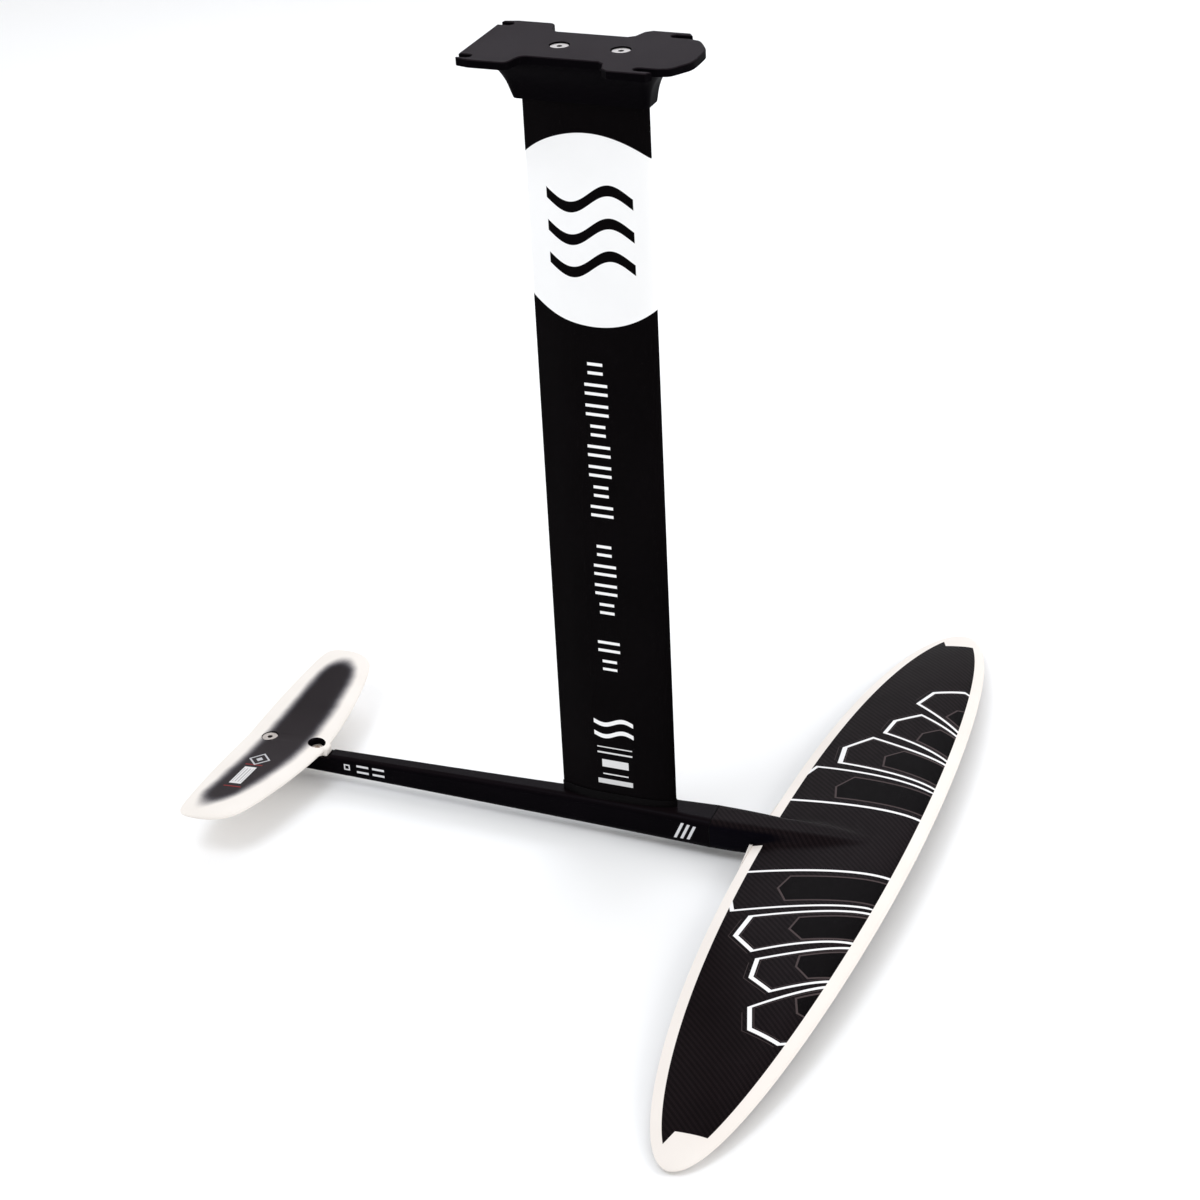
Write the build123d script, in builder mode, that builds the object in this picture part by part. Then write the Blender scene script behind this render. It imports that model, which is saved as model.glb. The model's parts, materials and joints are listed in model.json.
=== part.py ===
from build123d import *
import math
import os

# Hydrofoil: top plate, mast, fuselage, front wing and rear wing, bolted together.
# Frame: X forward, Y to port, Z up. The origin is on the board face of the top plate,
# straight above the middle of the mast's chord. Millimetres.

# ------------------------------------------------------------------ driving dimensions
# top plate
PLATE_THICK = 7.0
PLATE_REAR = -95.5
PLATE_NOSE = 104.5
PLATE_HALF = 55.0
WAIST_HALF = 34.0
REAR_LOBE_END = -48.0
FRONT_EAR_START = 38.5
FRONT_EAR_END = 81.0
SLOT_SPACING = 90.0
SLOT_WIDTH = 8.6
REAR_SLOT_INNER = -82.0
FRONT_SLOT_INNER = 62.5
PLATE_BOLT_X = (-21.0, 34.5)

# mast and collar
MAST_LENGTH = 720.0
MAST_CHORD = 116.5
MAST_THICK = 15.5
MAST_TOP = -35.0
MAST_FOOT = MAST_TOP - MAST_LENGTH
# chambers of the mast: rear x, half height there, front x, half height there
CHAMBERS = ((-42.0, 2.4, -28.5, 4.6), (-13.5, 5.1, 27.0, 4.9), (42.0, 3.4, 49.0, 2.3))
COLLAR_BOTTOM = -45.5

# level of the foil: every height below the mast is given from here
FOIL_Z = -740.5

# fuselage
SEAM_X = 97.0
TAIL_X = -407.0
TENON_LENGTH = 100.0
TAIL_SEAT_Z = FOIL_Z - 17.0
TAIL_SEAT_FRONT = -311.0
CORNER_SHARE = 0.26

# front wing: an ellipse in plan, pitched nose up and drooping towards the tips
WING_X = 218.5
WING_HALF_SPAN = 457.0
WING_CHORD = 155.0
WING_TE_Z = FOIL_Z - 22.5
WING_PITCH = 0.036
WING_DROOP = 22.5
WING_UPPER = 12.4
WING_LOWER = 5.4
WING_SKIN = 1.5
WING_EDGE = 0.6
NECK_SKIN = 2.5

# rear wing: nearly straight tail edge, rounded and upturned tips
TAIL_MID_X = -361.1
TAIL_HALF_SPAN = 168.2
TAIL_HALF_CHORD = 44.3
TAIL_TAPER = 17.5
TAIL_SWEEP = 8.0
TAIL_TIP_SWEEP = 7.0
TAIL_RISE = 10.3
TAIL_PITCH = 0.008
TAIL_Z = FOIL_Z - 10.5
TAIL_UPPER = 5.0
TAIL_LOWER = 3.4
TAIL_SKIN = 0.9
TAIL_BOLT_X = (-328.0, -381.1)

# fasteners
M8 = 8.0
THREAD_PLAY = 0.05

# clearances: glue lines, the fit of a socket, round a core, and from a split line to the chord
GLUE = 0.04
SOCKET_PLAY = 0.08
CORE_PLAY = 0.15
SPLIT_STEP = 0.3


# ------------------------------------------------------------------ shared shapes
def across(x, z=0.0):
    """Plane square to the X axis: its own x is Y and its own y is Z."""
    return Plane(origin=(x, 0, z), x_dir=(0, 1, 0), z_dir=(1, 0, 0))


def lengthwise(y):
    """Plane square to the Y axis: its own x is X and its own y is Z."""
    return Plane(origin=(0, y, 0), x_dir=(1, 0, 0), z_dir=(0, -1, 0))


def mast_outline(grow=0.0):
    """Foil section of the mast: elliptic nose, flat middle, tapered tail."""
    half_chord = MAST_CHORD / 2 + grow
    half_thick = MAST_THICK / 2 + grow
    flat_front = 18.0
    flat_rear = -20.0
    tail_half = 1.2 + grow
    with BuildSketch() as outline:
        with BuildLine():
            nose = EllipticalCenterArc(
                (flat_front, 0), half_chord - flat_front, half_thick, start_angle=0, arc_size=90
            )
            flat = Line(nose @ 1, (flat_rear, half_thick))
            taper = Spline(
                flat @ 1,
                (-half_chord + 16, half_thick * 0.56 + 0.44 * tail_half),
                (-half_chord + tail_half, tail_half),
                tangents=[(-1, 0), (-1, -0.24)],
            )
            Line(taper @ 1, (-half_chord, 0))
            Line((-half_chord, 0), nose @ 0)
        make_face()
        mirror(about=Plane.XZ)
    return outline.sketch


def mast_chambers(shrink=0.0):
    """The three open chambers between the walls and the two screw bosses."""
    with BuildSketch() as chambers:
        for rear, rear_half, front, front_half in CHAMBERS:
            low, high = rear_half - shrink, front_half - shrink
            left, right = rear + shrink, front - shrink
            with BuildLine():
                Polyline((left, -low), (right, -high), (right, high), (left, low), close=True)
            make_face()
    return chambers.sketch


def thickness_form(t):
    """Height of the foil section at the fraction t of the chord, 1 at its thickest."""
    return 10 * (0.2969 * math.sqrt(t) - 0.126 * t - 0.3516 * t**2 + 0.2843 * t**3 - 0.1036 * t**4)


def chord_fractions(first, last, count=12):
    """Fractions of the chord from first to last, closer together towards both ends."""
    steps = [0.5 - 0.5 * math.cos(math.pi * i / count) for i in range(count + 1)]
    return [first + (last - first) * s for s in steps]


def front_chord(angle):
    """Span station, nose, tail and height scale of the front wing at an angle of its ellipse."""
    y = WING_HALF_SPAN * math.sin(math.radians(angle))
    scale = math.cos(math.radians(angle))
    return y, WING_X + scale * WING_CHORD / 2, WING_X - scale * WING_CHORD / 2, scale


def front_chord_z(x, y):
    """Height of the front wing's chord surface."""
    rise = WING_PITCH * (x - WING_X + WING_CHORD / 2)
    return WING_TE_Z + rise - WING_DROOP * abs(y / WING_HALF_SPAN) ** 3


def tail_chord(angle):
    """Span station, nose, tail and height scale of the rear wing at an angle of its span."""
    s = abs(math.sin(math.radians(angle)))
    y = TAIL_HALF_SPAN * math.sin(math.radians(angle))
    middle = TAIL_MID_X - TAIL_SWEEP * s**1.25 - TAIL_TIP_SWEEP * s**16
    half = (TAIL_HALF_CHORD - TAIL_TAPER * s**2) * (1 - s**20) ** 0.424
    return y, middle + half, middle - half, half / TAIL_HALF_CHORD


def tail_chord_z(x, y):
    """Height of the rear wing's chord surface."""
    rise = TAIL_RISE * abs(y / TAIL_HALF_SPAN) ** 1.4
    return TAIL_Z + TAIL_PITCH * (x - TAIL_MID_X) + rise


def half_section(station, chord_z, height, edge, side, inset=0.0, overlap=0.0):
    """One closed half of a foil section above (side 1) or below (side -1) the chord surface.

    inset thins it to the space inside a skin, and overlap carries it past the chord surface.
    """
    y, nose, tail, scale = station
    tall = height * scale

    def rise(t):
        return tall * thickness_form(t) + edge * t - inset

    first, last = 0.0, 1.0
    if inset:
        fractions = [i / 400 for i in range(401)]
        inside = [t for t in fractions if rise(t) > 0.02]
        first, last = inside[0], inside[-1]
    curve = []
    for t in chord_fractions(first, last):
        x = nose + (tail - nose) * t
        curve.append((x, chord_z(x, y) + side * (max(rise(t), 0.0) + GLUE / 2)))
    start = (curve[0][0], curve[0][1] - side * overlap)
    end_x = curve[-1][0]
    end = (end_x, chord_z(end_x, y) + side * (GLUE / 2 - overlap))
    with BuildSketch(lengthwise(y)) as section:
        with BuildLine():
            Spline(*curve)
            if inset:
                Polyline(curve[-1], end, start, curve[0])
            else:
                Polyline(curve[-1], end, curve[0])
        make_face()
    return section.sketch


def lens_section(station, chord_z, upper, lower, edge, inset):
    """Closed section of a core: the space inside both skins, with a glue line all round."""
    y, nose, tail, scale = station

    def rise(t, height):
        return height * scale * thickness_form(t) + edge * t - inset - CORE_PLAY

    fractions = [i / 400 for i in range(401)]
    inside = [t for t in fractions if rise(t, lower) > 0.05]
    top, bottom = [], []
    for t in chord_fractions(inside[0], inside[-1]):
        x = nose + (tail - nose) * t
        top.append((x, chord_z(x, y) + rise(t, upper)))
        bottom.append((x, chord_z(x, y) - rise(t, lower)))
    with BuildSketch(lengthwise(y)) as section:
        with BuildLine():
            Spline(*top)
            Line(top[-1], bottom[-1])
            Spline(*bottom)
            Line(bottom[0], top[0])
        make_face()
    return section.sketch


def neck_section(x, width, top, bottom, shrink=0.0):
    """Rounded oblong across the fuselage line, with heights from the foil level."""
    wide = width - 2 * shrink
    tall = top - bottom - 2 * shrink
    radius = CORNER_SHARE * min(wide, tall)
    with BuildSketch(across(x, FOIL_Z + (top + bottom) / 2)) as section:
        RectangleRounded(wide, tall, radius)
    return section.sketch


def flat_head_bolt(x, y, head_z, diameter, head, length, up=1):
    """Countersunk socket screw; its head faces up (1) or down (-1) at head_z."""
    facing = Plane(origin=(x, y, head_z), x_dir=(1, 0, 0), z_dir=(0, 0, up))
    cone = (head - diameter) / 2
    with BuildPart() as bolt:
        with BuildSketch(Plane(origin=(x, y, head_z), x_dir=(1, 0, 0), z_dir=(0, -1, 0))):
            with BuildLine():
                Polyline(
                    (0, 0), (head / 2, 0), (head / 2, -up * 0.4), (diameter / 2, -up * (cone + 0.4)),
                    (diameter / 2, -up * (length - 0.8)), (diameter / 2 - 0.8, -up * length),
                    (0, -up * length), (0, 0),
                )
            make_face()
        revolve(axis=Axis((x, y, 0), (0, 0, 1)))
        with BuildSketch(facing):
            RegularPolygon(diameter * 0.33, 6)
        extrude(amount=-diameter * 0.5, mode=Mode.SUBTRACT)
    return bolt.part


def flat_head_cutter(x, y, head_z, diameter, head, length, up=1, play=0.35):
    """The countersink and the clearance hole for such a screw."""
    cone = (head - diameter) / 2
    with BuildPart() as cutter:
        with BuildSketch(Plane(origin=(x, y, head_z), x_dir=(1, 0, 0), z_dir=(0, -1, 0))):
            with BuildLine():
                Polyline(
                    (0, up * 6), (head / 2 + play, up * 6), (head / 2 + play, -up * 0.4),
                    (diameter / 2 + play, -up * (cone + 0.4)), (diameter / 2 + play, -up * length),
                    (0, -up * length), (0, up * 6),
                )
            make_face()
        revolve(axis=Axis((x, y, 0), (0, 0, 1)))
    return cutter.part


def bush(x, y, z_low, z_high, outer, inner):
    """Plain round bush standing on the Z axis."""
    with BuildPart() as ring:
        with BuildSketch(Plane.XY.offset(z_low)):
            with Locations((x, y)):
                Circle(outer / 2)
                Circle(inner / 2, mode=Mode.SUBTRACT)
        extrude(amount=z_high - z_low)
    return ring.part


def post(x, y, z_low, z_high, diameter):
    """Solid round post, used as a cutter."""
    with BuildPart() as pin:
        with BuildSketch(Plane.XY.offset(z_low)):
            with Locations((x, y)):
                Circle(diameter / 2)
        extrude(amount=z_high - z_low)
    return pin.part


# ------------------------------------------------------------------ top plate
PLATE_EDGE_CHAMFER = 0.8
PLATE_BOLT_HEAD = 15.8
PLATE_BOLT_SINK = 1.1
PLATE_BOLT_PLAY = 1.0
PLATE_BOLT_LENGTH = 58.0

with BuildPart() as top_plate:
    with BuildSketch(Plane.XY.offset(-PLATE_THICK)):
        with BuildLine():
            rear = Polyline(
                (PLATE_REAR, 0), (PLATE_REAR, PLATE_HALF - 7), (PLATE_REAR + 2.5, PLATE_HALF - 3),
                (PLATE_REAR + 14, PLATE_HALF),
            )
            lobe = Line(rear @ 1, (REAR_LOBE_END - 4, PLATE_HALF))
            sweep_in = Spline(
                lobe @ 1,
                (REAR_LOBE_END + 3.5, (PLATE_HALF + WAIST_HALF) / 2),
                (REAR_LOBE_END + 13, WAIST_HALF),
                tangents=[(1, 0), (1, 0)],
            )
            waist = Line(sweep_in @ 1, (FRONT_EAR_START - 11, WAIST_HALF))
            step = Polyline(
                waist @ 1, (FRONT_EAR_START - 6, WAIST_HALF + 4), (FRONT_EAR_START - 2, PLATE_HALF - 5),
                (FRONT_EAR_START + 4, PLATE_HALF), (FRONT_EAR_END - 4.5, PLATE_HALF),
                (FRONT_EAR_END, PLATE_HALF - 7), (FRONT_EAR_END, 41),
            )
            nose_side = Line(step @ 1, (FRONT_EAR_END + 6, 39))
            nose = Spline(
                nose_side @ 1, (PLATE_NOSE - 10.5, 34), (PLATE_NOSE - 4.5, 24), (PLATE_NOSE, 0),
                tangents=[(1, -0.1), (0, -1)],
            )
            Line(nose @ 1, rear @ 0)
        make_face()
        mirror(about=Plane.XZ)
        for side in (-1, 1):
            with Locations((PLATE_REAR, side * SLOT_SPACING / 2)):
                SlotOverall(2 * (REAR_SLOT_INNER - PLATE_REAR), SLOT_WIDTH, mode=Mode.SUBTRACT)
            with Locations((FRONT_EAR_END + 4, side * SLOT_SPACING / 2)):
                SlotOverall(2 * (FRONT_EAR_END + 4 - FRONT_SLOT_INNER), SLOT_WIDTH, mode=Mode.SUBTRACT)
    extrude(amount=PLATE_THICK)
    chamfer(top_plate.faces().sort_by(Axis.Z)[-1].outer_wire().edges(), PLATE_EDGE_CHAMFER)
    for x in PLATE_BOLT_X:
        add(
            flat_head_cutter(
                x, 0, -PLATE_BOLT_SINK, M8, PLATE_BOLT_HEAD, PLATE_THICK, play=PLATE_BOLT_PLAY
            ),
            mode=Mode.SUBTRACT,
        )
top_plate.part.label = "top_plate"

# ------------------------------------------------------------------ collar under the plate
# height, length, width, forward shift and corner radius of each level of the collar
COLLAR_STATIONS = (
    (COLLAR_BOTTOM, 123.5, 25.5, -0.15, 4.5),
    (-39.0, 126.9, 28.5, -0.85, 5.5),
    (-30.0, 132.2, 34.5, -1.5, 8.0),
    (-21.0, 141.9, 44.0, -1.95, 12.0),
    (-PLATE_THICK, 159.0, 59.0, 0.5, 19.0),
)

with BuildPart() as mast_collar:
    for z, long, wide, shift, corner in COLLAR_STATIONS:
        with BuildSketch(Plane.XY.offset(z)):
            with Locations((shift, 0)):
                RectangleRounded(long, wide, corner)
    loft()
    with BuildSketch(Plane.XY.offset(COLLAR_BOTTOM)):
        add(mast_outline(SOCKET_PLAY))
    extrude(amount=MAST_TOP - COLLAR_BOTTOM, mode=Mode.SUBTRACT)
    for x in PLATE_BOLT_X:
        add(post(x, 0, MAST_TOP - 1, -PLATE_THICK + 1, M8 + 0.7), mode=Mode.SUBTRACT)
mast_collar.part.label = "mast_collar"

# ------------------------------------------------------------------ mast
INSERT_OUTER = 10.5
INSERT_LENGTH = 26.0
PLUG_DEPTH = 10.0

with BuildPart() as mast:
    with BuildSketch(Plane.XY.offset(MAST_FOOT)):
        add(mast_outline())
        add(mast_chambers(), mode=Mode.SUBTRACT)
    extrude(amount=MAST_LENGTH)
    for x in PLATE_BOLT_X:
        add(post(x, 0, MAST_TOP - INSERT_LENGTH, MAST_TOP + 1, INSERT_OUTER + 0.1), mode=Mode.SUBTRACT)
        add(post(x, 0, MAST_FOOT - 1, MAST_FOOT + INSERT_LENGTH, INSERT_OUTER + 0.1), mode=Mode.SUBTRACT)
mast.part.label = "mast"

with BuildPart() as mast_head_inserts:
    for x in PLATE_BOLT_X:
        add(bush(x, 0, MAST_TOP - INSERT_LENGTH, MAST_TOP, INSERT_OUTER, M8 + 2 * THREAD_PLAY))
mast_head_inserts.part.label = "mast_head_inserts"

with BuildPart() as mast_foot_inserts:
    for x in PLATE_BOLT_X:
        add(bush(x, 0, MAST_FOOT, MAST_FOOT + INSERT_LENGTH, INSERT_OUTER, M8 + 2 * THREAD_PLAY))
mast_foot_inserts.part.label = "mast_foot_inserts"

with BuildPart() as mast_head_plugs:
    with BuildSketch(Plane.XY.offset(MAST_TOP - PLUG_DEPTH)):
        add(mast_chambers(SOCKET_PLAY))
    extrude(amount=PLUG_DEPTH)
mast_head_plugs.part.label = "mast_head_plugs"

with BuildPart() as mast_foot_plugs:
    with BuildSketch(Plane.XY.offset(MAST_FOOT)):
        add(mast_chambers(SOCKET_PLAY))
    extrude(amount=PLUG_DEPTH)
mast_foot_plugs.part.label = "mast_foot_plugs"

with BuildPart() as plate_bolts:
    for x in PLATE_BOLT_X:
        add(flat_head_bolt(x, 0, -PLATE_BOLT_SINK, M8, PLATE_BOLT_HEAD, PLATE_BOLT_LENGTH))
plate_bolts.part.label = "plate_bolts"

# ------------------------------------------------------------------ fuselage
# station, width, and top and bottom from the foil level
FUSELAGE_STATIONS = (
    (TAIL_X, 14.8, -15.8, -34.7),
    (-240.0, 18.4, -12.1, -35.8),
    (-36.0, 25.0, -7.2, -37.6),
    (SEAM_X, 37.6, -4.8, -37.0),
)
TENON_WIDE = 24.0
TENON_TALL = 21.0
TENON_MID = -21.0
TENON_TAPER = 6.0
TENON_CORNER = 3.0
MAST_BOLT_HEAD = 16.0
WING_BOLT_X = (124.0, 178.0)
WING_BOLT_HEAD = 15.0
FUSELAGE_UNDER = FOIL_Z - 37.6
BOOT_LOW = FOIL_Z - 10.0
BOOT_TALL = 12.0
BOOT_WALL = 0.8
NOSE_INSERT_LENGTH = 16.0
TAIL_INSERT_LENGTH = 12.5
TAIL_INSERT_OUTER = 10.5


def tenon_section(x, grow=0.0):
    """Tapered oblong of the fuselage's tenon at x, or of the socket round it."""
    along = (x - SEAM_X) / TENON_LENGTH
    wide = TENON_WIDE - TENON_TAPER * along + 2 * grow
    tall = TENON_TALL - TENON_TAPER * along + 2 * grow
    with BuildSketch(across(x, FOIL_Z + TENON_MID)) as section:
        RectangleRounded(wide, tall, TENON_CORNER + grow)
    return section.sketch


with BuildPart() as fuselage:
    for x, wide, top, bottom in FUSELAGE_STATIONS:
        add(neck_section(x, wide, top, bottom))
    loft()
    for x in (SEAM_X, SEAM_X + TENON_LENGTH):
        add(tenon_section(x))
    loft()
    with BuildSketch(Plane.XY.offset(TAIL_SEAT_Z)):
        with Locations(((TAIL_X + TAIL_SEAT_FRONT) / 2 - 5, 0)):
            Rectangle(TAIL_SEAT_FRONT - TAIL_X + 10, 40)
    extrude(amount=30, mode=Mode.SUBTRACT)
    with BuildSketch(Plane.XY.offset(MAST_FOOT)):
        add(mast_outline(SOCKET_PLAY))
    extrude(amount=40, mode=Mode.SUBTRACT)
    for x in PLATE_BOLT_X:
        add(
            flat_head_cutter(x, 0, FUSELAGE_UNDER + 1.2, M8, MAST_BOLT_HEAD, 40, up=-1),
            mode=Mode.SUBTRACT,
        )
    for x in WING_BOLT_X:
        low = FOIL_Z + TENON_MID - 12
        add(post(x, 0, low, low + NOSE_INSERT_LENGTH + 2.5, 10.1), mode=Mode.SUBTRACT)
    for x in TAIL_BOLT_X:
        low = TAIL_SEAT_Z - TAIL_INSERT_LENGTH
        add(post(x, 0, low, TAIL_SEAT_Z + 1, TAIL_INSERT_OUTER + 0.1), mode=Mode.SUBTRACT)
fuselage.part.label = "fuselage"

with BuildPart() as mast_bolts:
    for x in PLATE_BOLT_X:
        add(flat_head_bolt(x, 0, FUSELAGE_UNDER + 1.5, M8, MAST_BOLT_HEAD, 44.0, up=-1))
mast_bolts.part.label = "mast_bolts"

with BuildPart() as mast_foot_boot:
    with BuildSketch(Plane.XY.offset(BOOT_LOW)):
        add(mast_outline(BOOT_WALL))
        add(mast_outline(SOCKET_PLAY), mode=Mode.SUBTRACT)
    extrude(amount=BOOT_TALL)
    add(fuselage.part, mode=Mode.SUBTRACT)
mast_foot_boot.part.label = "mast_foot_boot"

with BuildPart() as fuselage_nose_inserts:
    for x in WING_BOLT_X:
        low = FOIL_Z + TENON_MID - 8.0
        add(bush(x, 0, low, low + NOSE_INSERT_LENGTH - 3, 10.0, M8 + 2 * THREAD_PLAY))
fuselage_nose_inserts.part.label = "fuselage_nose_inserts"

with BuildPart() as fuselage_tail_inserts:
    for x in TAIL_BOLT_X:
        low = TAIL_SEAT_Z - TAIL_INSERT_LENGTH
        add(bush(x, 0, low, TAIL_SEAT_Z, TAIL_INSERT_OUTER, M8 + 2 * THREAD_PLAY))
fuselage_tail_inserts.part.label = "fuselage_tail_inserts"

# ------------------------------------------------------------------ front wing
JOINT_SEAL = 1.0
SEAL_WIDE = 36.8
SEAL_TALL = 31.0
SEAL_CORNER = 8.0
NECK_START = SEAM_X + JOINT_SEAL
NECK_STATIONS = (
    (NECK_START, 37.6, -4.8, -37.0),
    (130.0, 36.0, -4.7, -36.6),
    (165.0, 31.0, -4.8, -35.0),
    (200.0, 23.5, -5.0, -32.0),
    (230.0, 14.0, -5.8, -28.6),
    (256.0, 4.0, -8.0, -24.5),
)
SKIN_STEPS = [87.0 * i / 8 for i in range(-8, 9)]
CORE_STEPS = [70.0 * i / 8 for i in range(-8, 9)]

with BuildPart() as neck_body:
    for x, wide, top, bottom in NECK_STATIONS:
        add(neck_section(x, wide, top, bottom))
    loft()

with BuildPart() as neck_space:
    for x, wide, top, bottom in NECK_STATIONS[:4]:
        add(neck_section(x, wide, top, bottom, NECK_SKIN))
    loft()


def half_neck(side):
    """The part of the neck above (1) or below (-1) the front wing's chord plane."""
    with BuildPart() as half:
        for x, wide, top, bottom in NECK_STATIONS:
            middle = FOIL_Z + (top + bottom) / 2
            split = front_chord_z(x, 0) + side * SPLIT_STEP - middle
            with BuildSketch(across(x, middle)):
                RectangleRounded(wide, top - bottom, CORNER_SHARE * min(wide, top - bottom))
                with Locations((0, split)):
                    keep = Align.MIN if side < 0 else Align.MAX
                    Rectangle(2 * wide, 80, align=(Align.CENTER, keep), mode=Mode.SUBTRACT)
        loft()
    return half.part


def front_hollow(side, height):
    """The space inside one skin of the front wing."""
    with BuildPart() as hollow:
        for angle in CORE_STEPS:
            add(half_section(front_chord(angle), front_chord_z, height, WING_EDGE, side, WING_SKIN, 1.0))
        loft()
    return hollow.part


def front_skin(side, height):
    """Upper (1) or lower (-1) half shell of the front wing, with its half of the neck."""
    with BuildPart() as shell:
        for angle in SKIN_STEPS:
            add(half_section(front_chord(angle), front_chord_z, height, WING_EDGE, side))
        loft()
        add(half_neck(side))
        add(front_hollow(side, height), mode=Mode.SUBTRACT)
        add(neck_space.part, mode=Mode.SUBTRACT)
    return shell.part


with BuildPart() as front_wing_top_skin:
    add(front_skin(1, WING_UPPER))
front_wing_top_skin.part.label = "front_wing_top_skin"

WING_BOLT_LOW = (FOIL_Z - 36.3, FOIL_Z - 33.6)

with BuildPart() as front_wing_bottom_skin:
    add(front_skin(-1, WING_LOWER))
    for x, low in zip(WING_BOLT_X, WING_BOLT_LOW):
        add(flat_head_cutter(x, 0, low, M8, WING_BOLT_HEAD, 12, up=-1), mode=Mode.SUBTRACT)
front_wing_bottom_skin.part.label = "front_wing_bottom_skin"

with BuildPart() as front_wing_socket:
    for x, wide, top, bottom in NECK_STATIONS[:4]:
        add(neck_section(x, wide, top, bottom, NECK_SKIN + GLUE))
    loft()
    for x in (NECK_START - 0.5, SEAM_X + TENON_LENGTH + 1.0):
        add(tenon_section(x, SOCKET_PLAY))
    loft(mode=Mode.SUBTRACT)
    for x, low in zip(WING_BOLT_X, WING_BOLT_LOW):
        add(flat_head_cutter(x, 0, low, M8, WING_BOLT_HEAD, 18, up=-1), mode=Mode.SUBTRACT)
front_wing_socket.part.label = "front_wing_socket"

with BuildPart() as front_wing_core:
    for angle in CORE_STEPS:
        add(lens_section(front_chord(angle), front_chord_z, WING_UPPER, WING_LOWER, WING_EDGE, WING_SKIN))
    loft()
    add(neck_body.part, mode=Mode.SUBTRACT)
front_wing_core.part.label = "front_wing_core"

with BuildPart() as front_wing_seal:
    with BuildSketch(across(SEAM_X, FOIL_Z + TENON_MID)):
        RectangleRounded(SEAL_WIDE, SEAL_TALL, SEAL_CORNER)
        RectangleRounded(TENON_WIDE + 0.6, TENON_TALL + 0.6, TENON_CORNER + 0.3, mode=Mode.SUBTRACT)
    extrude(amount=JOINT_SEAL)
front_wing_seal.part.label = "front_wing_seal"

with BuildPart() as front_wing_bolts:
    for x, low in zip(WING_BOLT_X, WING_BOLT_LOW):
        add(flat_head_bolt(x, 0, low + 0.2, M8, WING_BOLT_HEAD, 17.0, up=-1))
front_wing_bolts.part.label = "front_wing_bolts"

# ------------------------------------------------------------------ rear wing
TAIL_SKIN_STEPS = [84.0 * i / 10 for i in range(-10, 11)]
TAIL_CORE_STEPS = [66.0 * i / 8 for i in range(-8, 9)]
TAIL_EDGE = 0.5
SHIM_THICK = 1.0
PAD_Z = TAIL_SEAT_Z + SHIM_THICK
PAD_WIDE = 13.0
PAD_REAR = -395.0
TAIL_NOSE_X = TAIL_MID_X + TAIL_HALF_CHORD
TONGUE_FRONT = TAIL_NOSE_X + 2.5
TONGUE_REAR = TAIL_NOSE_X - 4.0
TONGUE_WIDE = 12.0
TONGUE_Z = tail_chord_z(TAIL_NOSE_X, 0.0)
BUSH_OUTER = (18.0, 17.2)
BOSS_WALL = 1.2
BUSH_TOP = (FOIL_Z - 8.2, FOIL_Z - 8.1)
BUSH_FLOOR = PAD_Z + 1.6
BUSH_WALL = 0.6
CAP_HEAD = 13.0
CAP_TALL = 3.0
CAP_LENGTH = 14.0
CAP_HEX = 3.2
CAP_HEX_DEPTH = 2.0
TAIL_FLAT_HEAD = 15.6
TAIL_FLAT_SINK = 0.4


def flat_block(x_low, x_high, wide, z_low, z_high):
    """Rectangular block centred on the middle plane."""
    with BuildPart() as block:
        with BuildSketch(Plane.XY.offset(z_low)):
            with Locations(((x_low + x_high) / 2, 0)):
                Rectangle(x_high - x_low, wide)
        extrude(amount=z_high - z_low)
    return block.part


def tail_hollow(side, height):
    """The space inside one skin of the rear wing."""
    with BuildPart() as hollow:
        for angle in TAIL_CORE_STEPS:
            add(half_section(tail_chord(angle), tail_chord_z, height, TAIL_EDGE, side, TAIL_SKIN, 1.0))
        loft()
    return hollow.part


def tail_skin(side, height):
    """Upper (1) or lower (-1) skin of the rear wing, with its half of the tongue and pad."""
    with BuildPart() as shell:
        for angle in TAIL_SKIN_STEPS:
            add(half_section(tail_chord(angle), tail_chord_z, height, TAIL_EDGE, side))
        loft()
        if side > 0:
            add(flat_block(TONGUE_REAR, TONGUE_FRONT, TONGUE_WIDE, TONGUE_Z + SPLIT_STEP, TONGUE_Z + 1.2))
        else:
            add(flat_block(TONGUE_REAR, TONGUE_FRONT, TONGUE_WIDE, PAD_Z, TONGUE_Z - SPLIT_STEP))
            add(flat_block(PAD_REAR, TAIL_NOSE_X - 2, PAD_WIDE, PAD_Z, TAIL_Z - 1.0))
            for x, outer in zip(TAIL_BOLT_X, BUSH_OUTER):
                add(post(x, 0, PAD_Z, TAIL_Z - 1.5, outer + 2 * BOSS_WALL))
        add(tail_hollow(side, height), mode=Mode.SUBTRACT)
        for x, outer in zip(TAIL_BOLT_X, BUSH_OUTER):
            add(post(x, 0, PAD_Z - 5, TAIL_Z + 10, outer + 0.1), mode=Mode.SUBTRACT)
    return shell.part


with BuildPart() as rear_wing_top_skin:
    add(tail_skin(1, TAIL_UPPER))
rear_wing_top_skin.part.label = "rear_wing_top_skin"

with BuildPart() as rear_wing_bottom_skin:
    add(tail_skin(-1, TAIL_LOWER))
rear_wing_bottom_skin.part.label = "rear_wing_bottom_skin"

with BuildPart() as rear_wing_core:
    for angle in TAIL_CORE_STEPS:
        add(lens_section(tail_chord(angle), tail_chord_z, TAIL_UPPER, TAIL_LOWER, TAIL_EDGE, TAIL_SKIN))
    loft()
    for x, outer in zip(TAIL_BOLT_X, BUSH_OUTER):
        add(post(x, 0, PAD_Z - 5, TAIL_Z + 10, outer + 0.1), mode=Mode.SUBTRACT)
rear_wing_core.part.label = "rear_wing_core"

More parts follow.
